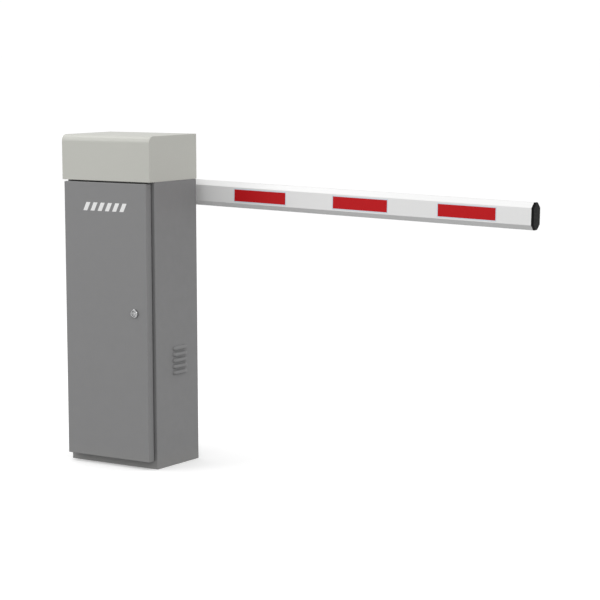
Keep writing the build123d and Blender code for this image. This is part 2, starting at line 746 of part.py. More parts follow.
def rod_ends():
    top = rod_pin_place()[1]
    upper = rod_end(top, -1, PIN_R + RUNNING)
    return upper, rod_end(top - LINK_LENGTH, 1, PIN_R + OPEN_PIVOT_CLEARANCE)


def rod_bar():
    """The hexagonal middle of the rod, screwed onto both rod ends."""
    x, top = rod_pin_place()
    y = ROD_Y + ROD_WIDTH / 2
    shoulder = ROD_SHANK - ROD_THREAD_LENGTH + 2
    low, high = top - LINK_LENGTH + shoulder, top - shoulder
    bar = hexagon_z(ROD_BAR_R, low, high, x, y)
    for z in (low - 1, high - ROD_THREAD_LENGTH):
        bar -= rod_z(ROD_THREAD_R + RUNNING, z, z + ROD_THREAD_LENGTH + 1, x, y)
    return bar


def crank_arm():
    return lever_plate(ROD_ARM, 0, CRANK_HUB_R, OUTPUT_R, SHAFT_X, OUTPUT_Z, -HALF_SWING)


def crank_pin():
    return link_pin(*at_angle(ROD_ARM, -HALF_SWING, SHAFT_X, OUTPUT_Z))


def output_shaft():
    return rod_y(OUTPUT_R, BOX_FRONT_Y - 5, LEVER_Y + LEVER_THICKNESS + HUB_BEHIND, SHAFT_X, OUTPUT_Z)


def worm_wheel():
    """A toothed wheel whose teeth are narrow enough for the worm to lean between them."""
    pitch_r = MODULE * WHEEL_TEETH / 2
    tip_r, root_r = pitch_r + 0.8 * MODULE, pitch_r - 1.2 * MODULE
    step = 2 * pi / WHEEL_TEETH
    points = []
    for i in range(WHEEL_TEETH):
        middle = (i + 0.5) * step
        for r, lean in ((root_r, -0.31), (tip_r, -0.13), (tip_r, 0.13), (root_r, 0.31)):
            points.append((r * cos(middle + lean * step), r * sin(middle + lean * step)))
    face = Pos(SHAFT_X, OUTPUT_Z) * make_face(Polyline(points, close=True))
    wheel = plate_y(face, GEAR_Y - WHEEL_WIDTH / 2, GEAR_Y + WHEEL_WIDTH / 2)
    return wheel - rod_y(OUTPUT_R + RUNNING, GEAR_Y - WHEEL_WIDTH, GEAR_Y + WHEEL_WIDTH, SHAFT_X, OUTPUT_Z)


def worm_shaft():
    """The motor shaft, whose top is cut as a single-start worm."""
    lead = pi * MODULE
    start = OUTPUT_Z - (WORM_TURNS + 1) * lead / 2
    path = Helix(lead, WORM_TURNS * lead, WORM_ROOT_R)
    profile = Plane(origin=(WORM_ROOT_R, 0, 0), x_dir=(1, 0, 0), z_dir=(0, -1, 0)) * make_face(
        Polyline([(-0.4, -1.5), (WORM_TIP_R - WORM_ROOT_R, -0.6), (WORM_TIP_R - WORM_ROOT_R, 0.6), (-0.4, 1.5)],
                 close=True))
    thread = sweep(profile, path=path, is_frenet=True)
    low, high = start - 6, OUTPUT_Z + BOX_HALF_Z - BOX_WALL - 8
    worm = Pos(WORM_X, GEAR_Y, start) * thread
    worm += rod_z(WORM_ROOT_R, low, high, WORM_X, GEAR_Y)
    return worm + rod_z(WORM_SHAFT_R, HANDWHEEL_BOTTOM, high + 14, WORM_X, GEAR_Y)


def gearbox_housing():
    x0, x1 = BOX_CENTRE_X - BOX_HALF_X, BOX_CENTRE_X + BOX_HALF_X
    z0, z1 = OUTPUT_Z - BOX_HALF_Z, OUTPUT_Z + BOX_HALF_Z
    box = block(x0, x1, BOX_FRONT_Y, FRONT_PLATE_Y, z0, z1)
    box = fillet(box.edges().filter_by(Axis.Y), BOX_CORNER)
    box -= block(x0 + BOX_WALL, x1 - BOX_WALL, BOX_FRONT_Y - 1, 0, z0 + BOX_WALL, z1 - BOX_WALL)
    box -= rod_y(OUTPUT_R + RUNNING, -1, FRONT_PLATE_Y + 1, SHAFT_X, OUTPUT_Z)
    box -= rod_z(WORM_SHAFT_R + RUNNING, z0 - 1, z0 + BOX_WALL + 1, WORM_X, GEAR_Y)
    box -= rod_z(WORM_SHAFT_R + RUNNING, z1 - BOX_WALL - 1, z1 - 3, WORM_X, GEAR_Y)
    for x, z in cover_screw_places():
        box -= rod_y(COVER_SCREW_R + RUNNING, BOX_FRONT_Y - 1, BOX_FRONT_Y + 14, x, z)
    for x, z in gearbox_bolt_places():
        box -= rod_y(BOLT_HOLE_R, FRONT_PLATE_Y - 16, FRONT_PLATE_Y + 1, x, z)
    return box


def cover_screw_places():
    reach_x = BOX_HALF_X - BOX_WALL / 2 - 0.5
    reach_z = BOX_HALF_Z - BOX_WALL / 2 - 0.5
    return [(BOX_CENTRE_X + x, OUTPUT_Z + z) for x in (-reach_x, 0, reach_x) for z in (-reach_z, reach_z)]


def gearbox_cover():
    x0, x1 = BOX_CENTRE_X - BOX_HALF_X, BOX_CENTRE_X + BOX_HALF_X
    plate = block(x0, x1, BOX_FRONT_Y - COVER, BOX_FRONT_Y, OUTPUT_Z - BOX_HALF_Z, OUTPUT_Z + BOX_HALF_Z)
    plate = fillet(plate.edges().filter_by(Axis.Y), BOX_CORNER)
    plate += rod_y(24, BOX_FRONT_Y - COVER - 4, BOX_FRONT_Y - COVER, SHAFT_X, OUTPUT_Z)
    plate -= rod_y(OUTPUT_R + RUNNING, BOX_FRONT_Y - 6, BOX_FRONT_Y + 1, SHAFT_X, OUTPUT_Z)
    for x, z in cover_screw_places():
        plate -= rod_y(COVER_SCREW_R + RUNNING, BOX_FRONT_Y - COVER - 1, BOX_FRONT_Y + 1, x, z)
    return plate


def cover_screw(x, z):
    seat = BOX_FRONT_Y - COVER
    head = seat - COVER_SCREW_HEAD
    screw = rod_y(COVER_SCREW_HEAD_R, head, seat, x, z) + rod_y(COVER_SCREW_R, seat, BOX_FRONT_Y + 12, x, z)
    return screw - hexagon_y(COVER_SCREW_HEAD_R - 2.2, head - 1, head + 3, x, z)


# Motor

def motor_housing():
    body = rod_z(MOTOR_R, MOTOR_BOTTOM, MOTOR_TOP - MOTOR_FLANGE, WORM_X, GEAR_Y)
    body += rod_z(MOTOR_FLANGE_R, MOTOR_TOP - MOTOR_FLANGE, MOTOR_TOP, WORM_X, GEAR_Y)
    for i in range(MOTOR_FINS):
        fin = block(MOTOR_R - 2, MOTOR_FIN_R, -FIN_HALF_THICKNESS, FIN_HALF_THICKNESS,
                    MOTOR_BOTTOM + 12, MOTOR_TOP - 24)
        body += Pos(WORM_X, GEAR_Y, 0) * Rot(0, 0, 360 / MOTOR_FINS * i) * fin
    pad_front = GEAR_Y - MOTOR_FIN_R - 1
    half = TERMINAL_BOX_HALF - 2
    body += block(WORM_X - half, WORM_X + half, pad_front, GEAR_Y - MOTOR_R + 4,
                  TERMINAL_BOX_BOTTOM + 2, TERMINAL_BOX_TOP - 2)
    body -= rod_z(MOTOR_BORE, MOTOR_BOTTOM + 8, MOTOR_TOP - 16, WORM_X, GEAR_Y)
    return body - rod_z(WORM_SHAFT_R + RUNNING, MOTOR_BOTTOM - 1, MOTOR_TOP + 1, WORM_X, GEAR_Y)


def motor_stator():
    ring = rod_z(MOTOR_BORE, CORE_BOTTOM, CORE_TOP, WORM_X, GEAR_Y)
    return ring - rod_z(ROTOR_R + AIR_GAP, MOTOR_BOTTOM, MOTOR_TOP, WORM_X, GEAR_Y)


def motor_rotor():
    core = rod_z(ROTOR_R, CORE_BOTTOM, CORE_TOP, WORM_X, GEAR_Y)
    return core - rod_z(WORM_SHAFT_R, MOTOR_BOTTOM, MOTOR_TOP, WORM_X, GEAR_Y)


def handwheel():
    """A lobed wheel on the motor shaft's lower end, to move the boom by hand."""
    wheel = rod_z(HANDWHEEL_R, HANDWHEEL_BOTTOM, HANDWHEEL_TOP, WORM_X, GEAR_Y)
    for i in range(HANDWHEEL_LOBES):
        angle = 2 * pi * i / HANDWHEEL_LOBES
        x = WORM_X + HANDWHEEL_R * cos(angle)
        y = GEAR_Y + HANDWHEEL_R * sin(angle)
        wheel += rod_z(LOBE_R, HANDWHEEL_BOTTOM, HANDWHEEL_TOP, x, y)
    return wheel - rod_z(WORM_SHAFT_R, HANDWHEEL_BOTTOM - 1, HANDWHEEL_TOP + 1, WORM_X, GEAR_Y)


def motor_terminal_box():
    back = GEAR_Y - MOTOR_FIN_R - 1
    box = block(WORM_X - TERMINAL_BOX_HALF, WORM_X + TERMINAL_BOX_HALF, back - TERMINAL_BOX_DEPTH, back,
                TERMINAL_BOX_BOTTOM, TERMINAL_BOX_TOP)
    box = fillet(box.edges().filter_by(Axis.Y), 4)
    gland_y = back - TERMINAL_BOX_DEPTH / 2
    return box + rod_z(6, TERMINAL_BOX_BOTTOM - GLAND_LENGTH, TERMINAL_BOX_BOTTOM, WORM_X, gland_y)


# Springs

def yoke_x():
    return SHAFT_X - SPRING_ARM * (1 + cos(radians(HALF_SWING))) / 2


def spring_xs():
    return yoke_x() - SPRING_SPACING / 2, yoke_x() + SPRING_SPACING / 2


def spring_yoke():
    """A hanger with a level slot for the lever's roller, and a bar with two plugs for the springs."""
    z = spring_pin_place()[1]
    x = yoke_x()
    slot_r = ROLLER_R + SLOT_CLEARANCE
    travel = SPRING_ARM * (1 - cos(radians(HALF_SWING)))
    y0, y1 = YOKE_Y, YOKE_Y + YOKE_THICKNESS
    bottom = z - YOKE_DROP
    yoke = block(x - YOKE_HALF_WIDTH, x + YOKE_HALF_WIDTH, y0, y1, bottom, z + slot_r + 9)
    yoke = fillet(yoke.edges().filter_by(Axis.Y), 6)
    yoke += block(x - YOKE_BAR_HALF, x + YOKE_BAR_HALF, SPRING_Y - 8, y1, bottom, bottom + YOKE_BAR_HEIGHT)
    yoke -= plate_y(Pos(x, z) * SlotOverall(travel + 2 * slot_r, 2 * slot_r), y0 - 1, y1 + 1)
    for spring_x in spring_xs():
        yoke += rod_z(SPRING_PLUG_R, bottom - SPRING_PLUG_LENGTH, bottom, spring_x, SPRING_Y)
    return yoke


def spring_top():
    return spring_pin_place()[1] - YOKE_DROP - SPRING_WIRE_R - 0.5


def balance_spring(x):
    low = SPRING_BOTTOM + SPRING_WIRE_R + 0.5
    height = spring_top() - low
    path = Helix(height / SPRING_TURNS, height, SPRING_MEAN_R)
    section = Plane(origin=path @ 0, z_dir=path % 0) * Circle(SPRING_WIRE_R)
    wire = sweep(section, path=path, is_frenet=True)
    return Pos(x, SPRING_Y, low) * wire


def spring_anchor():
    """A gusseted angle bracket on the rear wall, below the springs."""
    rear = HALF_D - SHEET
    under = ANCHOR_TOP - ANCHOR_PLATE
    web = rear - ANCHOR_PLATE
    bracket = block(ANCHOR_LEFT, ANCHOR_RIGHT, SPRING_Y - 16, rear, under, ANCHOR_TOP)
    bracket += block(ANCHOR_LEFT, ANCHOR_RIGHT, web, rear, ANCHOR_TOP - ANCHOR_DROP, under)
    corners = [(SPRING_Y - 10, under), (web, under), (web, ANCHOR_TOP - ANCHOR_DROP + ANCHOR_GUSSET)]
    gusset = extrude(Plane.YZ * make_face(Polyline(corners, close=True)), ANCHOR_GUSSET)
    for x in (ANCHOR_LEFT, ANCHOR_RIGHT - ANCHOR_GUSSET):
        bracket += Pos(x, 0, 0) * gusset
    for spring_x in spring_xs():
        bracket -= rod_z(TENSION_STUD_R + RUNNING, under - 1, ANCHOR_TOP + 1, spring_x, SPRING_Y)
    return bracket


def tension_bolt(x):
    """A stud through the anchor, with a flange and a plug that holds the spring's lower end."""
    stud = rod_z(TENSION_STUD_R, ANCHOR_TOP - 40, SPRING_BOTTOM, x, SPRING_Y)
    stud += rod_z(TENSION_FLANGE_R, SPRING_BOTTOM - 5, SPRING_BOTTOM, x, SPRING_Y)
    return stud + rod_z(SPRING_PLUG_R, SPRING_BOTTOM, SPRING_BOTTOM + SPRING_PLUG_LENGTH, x, SPRING_Y)


def tension_nut(x):
    top = ANCHOR_TOP - ANCHOR_PLATE
    low = top - TENSION_NUT_HEIGHT
    nut = hexagon_z(TENSION_NUT_R, low, top, x, SPRING_Y)
    return nut - rod_z(TENSION_STUD_R + RUNNING, low - 1, top + 1, x, SPRING_Y)


# Control gear

def control_plate():
    """A tray on the rear wall for the control gear."""
    half = CONTROL_HALF
    tray = block(-half, half, CONTROL_Y, CONTROL_Y + SHEET, CONTROL_BOTTOM, CONTROL_TOP)
    for x in (-half, half - SHEET):
        tray += block(x, x + SHEET, CONTROL_Y + SHEET, HALF_D - SHEET, CONTROL_BOTTOM, CONTROL_TOP)
    return tray


def row(count, first_x, pitch, width, y0, y1, z0, z1):
    """Equal blocks in a row along X."""
    return [block(first_x + pitch * i, first_x + pitch * i + width, y0, y1, z0, z1) for i in range(count)]


def control_board():
    """The circuit board on its pillars, with relays, a heat sink and a plug row."""
    back = BOARD_Y + BOARD_THICKNESS
    board = block(-120, 0, BOARD_Y, back, 84, 212)
    for x in (-114, -6):
        for z in (90, 206):
            board += rod_y(3, back, CONTROL_Y, x, z)
    for relay in row(RELAYS, -112, 20, 16, BOARD_Y - 16, BOARD_Y, 180, 200):
        board += relay
    for fin in row(HEAT_SINK_FINS, -110, 14, 2, BOARD_Y - 22, BOARD_Y, 130, 165):
        board += fin
    return board + block(-112, -8, BOARD_Y - 8, BOARD_Y, 88, 100)


def transformer():
    """A laminated core around two windings."""
    front = CONTROL_Y - 40
    core = block(20, 80, front, CONTROL_Y, 84, 136)
    for window in row(2, 33, 21, 13, front - 1, CONTROL_Y + 1, 97, 123):
        core -= window
    return core + block(42, 58, front - 12, front, 92, 128)


def terminal_block():
    front = CONTROL_Y - 30
    strip = block(30, 120, front, CONTROL_Y, 160, 184)
    for slot in row(TERMINALS, 37, 9, 4, front - 1, front + 10, 158, 168):
        strip -= slot
    return strip


def motor_cable():
    """The motor's lead, down from the terminal box and back to the terminal block."""
    y0 = GEAR_Y - MOTOR_FIN_R - 1 - TERMINAL_BOX_DEPTH / 2
    top = TERMINAL_BOX_BOTTOM - GLAND_LENGTH
    points = [(WORM_X, y0, top), (WORM_X, y0, 290), (WORM_X, 80, 250), (WORM_X, 80, 184)]
    path = FilletPolyline(points, radius=[50, 30])
    return sweep(Plane(origin=path @ 0, z_dir=path % 0) * Circle(CABLE_R), path=path)


# Boom

def octagon(inset=0):
    """The boom's section, drawn with its width along Y and its height along Z."""
    width = BOOM_WIDTH / 2 - inset
    height = BOOM_HEIGHT / 2 - inset
    cut = BOOM_CHAMFER - inset * (2 - sqrt(2))
    corners = [(width, height - cut), (width - cut, height), (cut - width, height), (-width, height - cut)]
    corners += [(y, -z) for y, z in reversed(corners)]
    return make_face(Plane.YZ * Polyline(corners, close=True))


def boom_length(inset, start, end):
    return Pos(start, BOOM_CENTRE_Y, 0) * extrude(octagon(inset), end - start, dir=(1, 0, 0))


def boom():
    tube = boom_length(0, BOOM_TAIL, BOOM_END) - boom_length(BOOM_WALL, BOOM_TAIL - 1, BOOM_END + 1)
    return along_boom(tube)


def boom_end_caps():
    """Moulded caps: a bevelled octagonal head and a plug inside the tube, at each end."""
    head = boom_length(0, BOOM_END, BOOM_END + CAP_THICKNESS)
    outer = [edge for edge in head.edges() if edge.center().X > BOOM_END + CAP_THICKNESS - 0.1]
    head = chamfer(outer, CAP_BEVEL)
    plug = boom_length(BOOM_WALL + 0.3, BOOM_END - CAP_PLUG, BOOM_END)
    plug -= boom_length(BOOM_WALL + 3, BOOM_END - CAP_PLUG - 1, BOOM_END)
    cap = head + plug
    middle = (BOOM_TAIL + BOOM_END) / 2
    tail = mirror(cap, Plane(origin=(middle, 0, 0), z_dir=(1, 0, 0)))
    return along_boom(cap), along_boom(tail)


def strip_middles():
    return [STRIP_MIDDLE + STRIP_PITCH * i for i in (-1, 0, 1)]


def strips(margin, layer):
    """Flat stickers on the boom's front and rear faces, one per strip, in the given layer."""
    half_l = STRIP_LENGTH / 2 + margin
    half_h = STRIP_HEIGHT / 2 + margin
    front = BOOM_FRONT_Y - STRIP_THICKNESS * (layer + 1)
    rear = BOOM_FRONT_Y + BOOM_WIDTH + STRIP_THICKNESS * layer
    made = []
    for s in strip_middles():
        for y in (front, rear):
            made.append(along_boom(block(s - half_l, s + half_l, y, y + STRIP_THICKNESS, -half_h, half_h)))
    return made


def clamp_bolt_places():
    return [(s, z) for s in CLAMP_BOLT_S for z in (-CLAMP_BOLT_OFFSET, CLAMP_BOLT_OFFSET)]


def boom_bracket():
    """The welded hub, disc and plate that carry the boom on the shaft."""
    back = BOOM_FRONT_Y - BRACKET_PLATE
    bracket = block(BRACKET_START, BRACKET_END, back, BOOM_FRONT_Y, -BRACKET_HALF, BRACKET_HALF)
    bracket = fillet(bracket.edges().filter_by(Axis.Y), 10)
    bracket += rod_y(BRACKET_DISC_R, back - 8, back)
    bracket += rod_y(BRACKET_HUB_R, HALF_D + 6, back - 8)
    bracket -= rod_y(SHAFT_R + RUNNING, HALF_D, back)
    for s, z in clamp_bolt_places():
        bracket -= rod_y(CLAMP_BOLT_R + RUNNING, back - 1, BOOM_FRONT_Y + 1, s, z)
    return along_boom(bracket)


def boom_clamp():
    front = BOOM_FRONT_Y + BOOM_WIDTH
    plate = block(BRACKET_START, BRACKET_END, front, front + BRACKET_PLATE, -BRACKET_HALF, BRACKET_HALF)
    plate = fillet(plate.edges().filter_by(Axis.Y), 10)
    for s, z in clamp_bolt_places():
        plate -= rod_y(CLAMP_BOLT_R + RUNNING, front - 1, front + BRACKET_PLATE + 1, s, z)
    return along_boom(plate)


def clamp_bolts():
    """Four long bolts with nuts, above and below the boom."""
    seat = BOOM_FRONT_Y - BRACKET_PLATE
    far = BOOM_FRONT_Y + BOOM_WIDTH + BRACKET_PLATE
    made = []
    for s, z in clamp_bolt_places():
        bolt = hexagon_y(CLAMP_NUT_R, seat - 6.4, seat, s, z) + rod_y(CLAMP_BOLT_R, seat, far + 14, s, z)
        made.append(along_boom(bolt + hexagon_y(CLAMP_NUT_R, far, far + 8, s, z)))
    return made


# Write every sub-part

os.makedirs("parts", exist_ok=True)

save("cabinet_shell", cabinet_shell())
save("base_plate", base_plate())
save("cable_grommet", cable_grommet())
save("lid_collar", lid_collar())
save("lid", lid())
save("lid_brackets", *lid_brackets())

save("door_panel", door_panel())
save("door_seal", door_seal())
save("hinge_leaves_cabinet", *[cabinet_hinge_leaf(z) for z in HINGE_BOTTOMS])
save("hinge_leaves_door", *[door_hinge_leaf(z + KNUCKLE_LENGTH + 0.3) for z in HINGE_BOTTOMS])
save("hinge_pins", *[hinge_pin(z) for z in HINGE_BOTTOMS])
save("lock_body", lock_body(), lock_nut())
save("lock_plug", lock_plug())
save("lock_cam", lock_cam())
save("door_mark", *door_mark())

save("front_machine_plate", front_machine_plate())
save("rear_machine_plate", rear_machine_plate())
save("plate_spacers", *[plate_spacer(x, z) for x, z in spacer_places()])
save("frame_bolts", *frame_bolts())
save("bearing_housings", bearing_housing(FRONT_PLATE_Y, -1), bearing_housing(REAR_PLATE_Y, -1))
save("shaft_bearings", shaft_bearing(FRONT_PLATE_Y - 17), shaft_bearing(REAR_PLATE_Y - 17))

save("main_shaft", main_shaft())
save("rocker_lever", rocker_lever())
save("lever_pins", link_pin(*rod_pin_place()), link_pin(*spring_pin_place()))
save("spring_roller", spring_roller())
save("limit_cams", *[limit_cam(y, degrees) for y, degrees in zip(LIMIT_DISC_YS, (180, 90))])
save("limit_switches", *limit_switches())
save("stop_buffers", *[stop_buffer(x, z) for x, z in buffer_places()])
save("buffer_studs", *[buffer_stud(x, z) for x, z in buffer_places()])

save("rod_ends", *rod_ends())
save("rod_bar", rod_bar())
save("crank_arm", crank_arm())
save("crank_pin", crank_pin())
save("output_shaft", output_shaft())
save("worm_wheel", worm_wheel())
save("worm_shaft", worm_shaft())
save("gearbox_housing", gearbox_housing())
save("gearbox_cover", gearbox_cover())
save("cover_screws", *[cover_screw(x, z) for x, z in cover_screw_places()])

save("motor_housing", motor_housing())
save("motor_stator", motor_stator())
save("motor_rotor", motor_rotor())
save("motor_terminal_box", motor_terminal_box())
save("handwheel", handwheel())

save("spring_yoke", spring_yoke())
save("balance_springs", *[balance_spring(x) for x in spring_xs()])
save("spring_anchor", spring_anchor())
save("tension_bolts", *[part(x) for x in spring_xs() for part in (tension_bolt, tension_nut)])

save("control_plate", control_plate())
save("control_board", control_board())
save("transformer", transformer())
save("terminal_block", terminal_block())
save("motor_cable", motor_cable())

save("boom", boom())
save("boom_end_caps", *boom_end_caps())
save("strip_borders", *strips(STRIP_BORDER, 0))
save("red_strips", *strips(0, 1))
save("boom_bracket", boom_bracket())
save("boom_clamp", boom_clamp())
save("clamp_bolts", *clamp_bolts())
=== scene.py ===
import json
from math import radians

import bmesh
import bpy
from mathutils import Matrix, Vector


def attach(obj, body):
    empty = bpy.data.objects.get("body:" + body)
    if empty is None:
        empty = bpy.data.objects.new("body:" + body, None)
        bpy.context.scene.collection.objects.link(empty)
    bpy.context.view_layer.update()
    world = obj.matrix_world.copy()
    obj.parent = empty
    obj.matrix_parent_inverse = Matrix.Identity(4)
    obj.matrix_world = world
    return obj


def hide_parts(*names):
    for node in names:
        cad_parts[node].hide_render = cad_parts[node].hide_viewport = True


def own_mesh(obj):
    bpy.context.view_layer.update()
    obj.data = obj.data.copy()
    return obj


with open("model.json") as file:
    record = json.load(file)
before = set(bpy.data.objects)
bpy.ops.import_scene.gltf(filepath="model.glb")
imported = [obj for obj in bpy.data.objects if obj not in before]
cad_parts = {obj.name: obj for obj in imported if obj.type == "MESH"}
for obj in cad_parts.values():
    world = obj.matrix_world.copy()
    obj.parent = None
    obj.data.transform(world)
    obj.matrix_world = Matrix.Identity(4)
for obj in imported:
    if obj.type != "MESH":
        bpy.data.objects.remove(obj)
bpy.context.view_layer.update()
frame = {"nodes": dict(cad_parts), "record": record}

# Places and sizes are in metres, angles in degrees, and the lens and its sensor in millimetres.
CAMERA_PLACE = Vector((3.892, -4.989, 1.286))
CAMERA_AZIMUTH = 33.2
CAMERA_ELEVATION = 7.06
CAMERA_ROLL = -0.18
CAMERA_LENS = 120.8
SENSOR_WIDTH = 36
FARTHEST_SEEN = 2000

# The closed boom hangs a little below the horizontal. Lines along it turn with it.
BOOM_DROOP = 1.35
BOOM_TURN = (0, -BOOM_DROOP, 0)
LONG_LINES = (0.012, 1, 1)

PAINT_EDGE_RADIUS = 0.002
DUST_TOP = 0.09

# Features to the metre in the reflective strips: prisms, and the larger cells with pale seams
PRISMS = 700
SEAMED_CELLS = 170

# Pads and tracks to the metre on the circuit board
TRACKS = 190

FLOOR_SIZE = 400
FLOOR_COLOUR = (0.93, 0.93, 0.93)
FLOOR_GLOW = 0.18

# The sky's grey level from straight below, at 0, to straight above, at 1. The horizon is at 0.5.
SKY_BELOW = 0.16
SKY_LEVELS = ((0.46, 0.42), (0.49, 0.95), (0.52, 0.95), (0.54, 0.66), (0.7, 0.80))
SKY_ABOVE = 0.92
SKY_STRENGTH = 1.08

# Each softbox's name, place, width and power in watts, and the point they all face
SOFTBOXES = (
    ("front_left", (-3.0, -3.4, 2.6), 2.2, 52),
    ("front_right", (4.0, -2.6, 2.4), 2.2, 40),
    ("above_left", (-2.0, -0.5, 4.0), 1.2, 20),
)
SOFTBOX_AIM = Vector((0, 0, 0.6))


# Building materials out of nodes

class Finish:
    """A node material in the making. Its patterns are laid out in metres on each object."""

    def __init__(self, name, colour, roughness=0.5, metallic=0.0, coat=0.0):
        self.material = bpy.data.materials.new(name)
        self.material.use_nodes = True
        self.nodes = self.material.node_tree.nodes
        self.links = self.material.node_tree.links
        self.shader = self.nodes["Principled BSDF"]
        self.shader.inputs["Base Color"].default_value = (*colour, 1)
        self.shader.inputs["Roughness"].default_value = roughness
        self.shader.inputs["Metallic"].default_value = metallic
        self.shader.inputs["Coat Weight"].default_value = coat
        self.colour = colour
        self.place = self.nodes.new("ShaderNodeTexCoord").outputs["Object"]
        self.normal = None

    def mapped(self, turn, stretch=(1, 1, 1)):
        """The places on the object, turned and stretched."""
        mapping = self.nodes.new("ShaderNodeMapping")
        mapping.inputs["Rotation"].default_value = [radians(angle) for angle in turn]
        mapping.inputs["Scale"].default_value = stretch
        self.links.new(self.place, mapping.inputs["Vector"])
        return mapping.outputs["Vector"]

    def noise(self, scale, detail, stretch=(1, 1, 1), turn=(0, 0, 0)):
        """Noise with that many features to the metre, stretched and turned."""
        texture = self.nodes.new("ShaderNodeTexNoise")
        texture.inputs["Scale"].default_value = scale
        texture.inputs["Detail"].default_value = detail
        self.links.new(self.mapped(turn, stretch), texture.inputs["Vector"])
        return texture.outputs["Fac"]

    def cells(self, scale, feature="F1", turn=(0, 0, 0)):
        """That many cells to the metre: a random value for each, or the distance to its edge."""
        texture = self.nodes.new("ShaderNodeTexVoronoi")
        texture.feature = feature
        texture.inputs["Scale"].default_value = scale
        self.links.new(self.mapped(turn), texture.inputs["Vector"])
        return texture.outputs["Color" if feature == "F1" else "Distance"]

    def cell_edges(self, scale, turn=(0, 0, 0)):
        """The distance to the nearest edge between cells, with that many cells to the metre."""
        return self.cells(scale, "DISTANCE_TO_EDGE", turn)

    def waves(self, scale, axis, distortion=0.0):
        """Bands across an axis, straight unless they are distorted."""
        texture = self.nodes.new("ShaderNodeTexWave")
        texture.bands_direction = axis
        texture.inputs["Scale"].default_value = scale
        texture.inputs["Distortion"].default_value = distortion
        self.links.new(self.place, texture.inputs["Vector"])
        return texture.outputs["Fac"]

    def spread(self, value, low, high, start=0.3, stop=0.7):
        """Takes a value that runs from start to stop, and runs it from low to high."""
        ramp = self.nodes.new("ShaderNodeMapRange")
        self.links.new(value, ramp.inputs["Value"])
        for name, number in (("From Min", start), ("From Max", stop), ("To Min", low), ("To Max", high)):
            ramp.inputs[name].default_value = number
        return ramp.outputs["Result"]

    def tint(self, value, colour, start, stop):
        """Mixes a second colour in as the value goes from start to stop."""
        mix = self.nodes.new("ShaderNodeMix")
        mix.data_type = "RGBA"
        socket = self.shader.inputs["Base Color"]
        if socket.is_linked:
            self.links.new(socket.links[0].from_socket, mix.inputs["A"])
        else:
            mix.inputs["A"].default_value = (*self.colour, 1)
        mix.inputs["B"].default_value = (*colour, 1)
        self.links.new(self.spread(value, 0, 1, start, stop), mix.inputs["Factor"])
        self.links.new(mix.outputs["Result"], socket)

    def shade(self, value, amount, start=0.3, stop=0.7):
        """Darkens the colour a little as the value falls."""
        darker = tuple(channel * (1 - amount) for channel in self.colour)
        self.tint(value, darker, stop, start)

    def gloss(self, value, low, high):
        """Varies the roughness from low to high."""
        self.links.new(self.spread(value, low, high), self.shader.inputs["Roughness"])

    def bump(self, value, depth, strength):
        """Raises the surface by up to depth, in metres, on top of the bumps there already."""
        bump = self.nodes.new("ShaderNodeBump")
        bump.inputs["Distance"].default_value = depth
        bump.inputs["Strength"].default_value = strength
        self.links.new(value, bump.inputs["Height"])
        if self.normal:
            self.links.new(self.normal, bump.inputs["Normal"])
        self.normal = bump.outputs["Normal"]
        self.links.new(self.normal, self.shader.inputs["Normal"])

    def soften_edges(self, radius):
        """Rounds the shading of sharp edges, as thick paint does, under any bumps added later."""
        bevel = self.nodes.new("ShaderNodeBevel")
        bevel.samples = 4
        bevel.inputs["Radius"].default_value = radius
        self.normal = bevel.outputs["Normal"]

    def height_between(self, low, high):
        """How far a point is on its way from one height to another, from 0 to 1."""
        split = self.nodes.new("ShaderNodeSeparateXYZ")
        self.links.new(self.place, split.inputs["Vector"])
        return self.spread(split.outputs["Z"], 0, 1, low, high)


def powder_coat(name, colour, roughness=0.5):
    """Textured powder coat: orange peel, a fine grain and faint patches."""
    paint = Finish(name, colour)
    paint.soften_edges(PAINT_EDGE_RADIUS)
    paint.shade(paint.noise(5, 3), 0.035)
    paint.shade(paint.noise(1400, 1), 0.05, 0.35, 0.65)
    paint.gloss(paint.noise(40, 4), roughness - 0.05, roughness + 0.07)
    paint.bump(paint.noise(420, 2), 0.00012, 0.5)
    paint.bump(paint.noise(1700, 1), 0.00005, 0.6)
    return paint


def cabinet_paint():
    """Mid grey coat, with a little pale dust towards the floor."""
    paint = powder_coat("cabinet_paint", (0.222, 0.222, 0.224))
    dust = paint.height_between(DUST_TOP, 0.0)
    paint.tint(dust, (0.27, 0.265, 0.25), 0.35, 2.2)
    return paint


def lid_paint():
    return powder_coat("lid_paint", (0.535, 0.537, 0.494), 0.4)


def bracket_paint():
    return powder_coat("bracket_paint", (0.19, 0.19, 0.195), 0.45)


def boom_white():
    """White coated extrusion, with the die's long faint lines under the coat."""
    paint = Finish("boom_white", (0.835, 0.835, 0.832))
    paint.shader.inputs["Specular IOR Level"].default_value = 0.3
    paint.shade(paint.noise(3, 3), 0.02)
    paint.gloss(paint.noise(260, 3, LONG_LINES, BOOM_TURN), 0.26, 0.4)
    paint.bump(paint.noise(520, 3, LONG_LINES, BOOM_TURN), 0.00004, 0.5)
    paint.bump(paint.noise(600, 2), 0.00005, 0.35)
    return paint


def prismatic_film(name, colour, pale):
    """Retroreflective film: tiny prism cells with pale seams under a clear face."""
    film = Finish(name, colour, 0.35)
    film.shader.inputs["Specular IOR Level"].default_value = 0.12
    film.shade(film.cells(PRISMS, turn=BOOM_TURN), 0.16, 0.1, 0.9)
    film.tint(film.cell_edges(SEAMED_CELLS, BOOM_TURN), pale, 0.035, 0.0)
    film.shade(film.noise(12, 2), 0.05)
    film.bump(film.cell_edges(PRISMS, BOOM_TURN), 0.00005, 0.4)
    return film


def strip_red():
    return prismatic_film("strip_red", (0.56, 0.009, 0.013), (0.60, 0.02, 0.026))


def strip_border():
    return prismatic_film("strip_border", (0.70, 0.78, 0.86), (0.86, 0.9, 0.95))


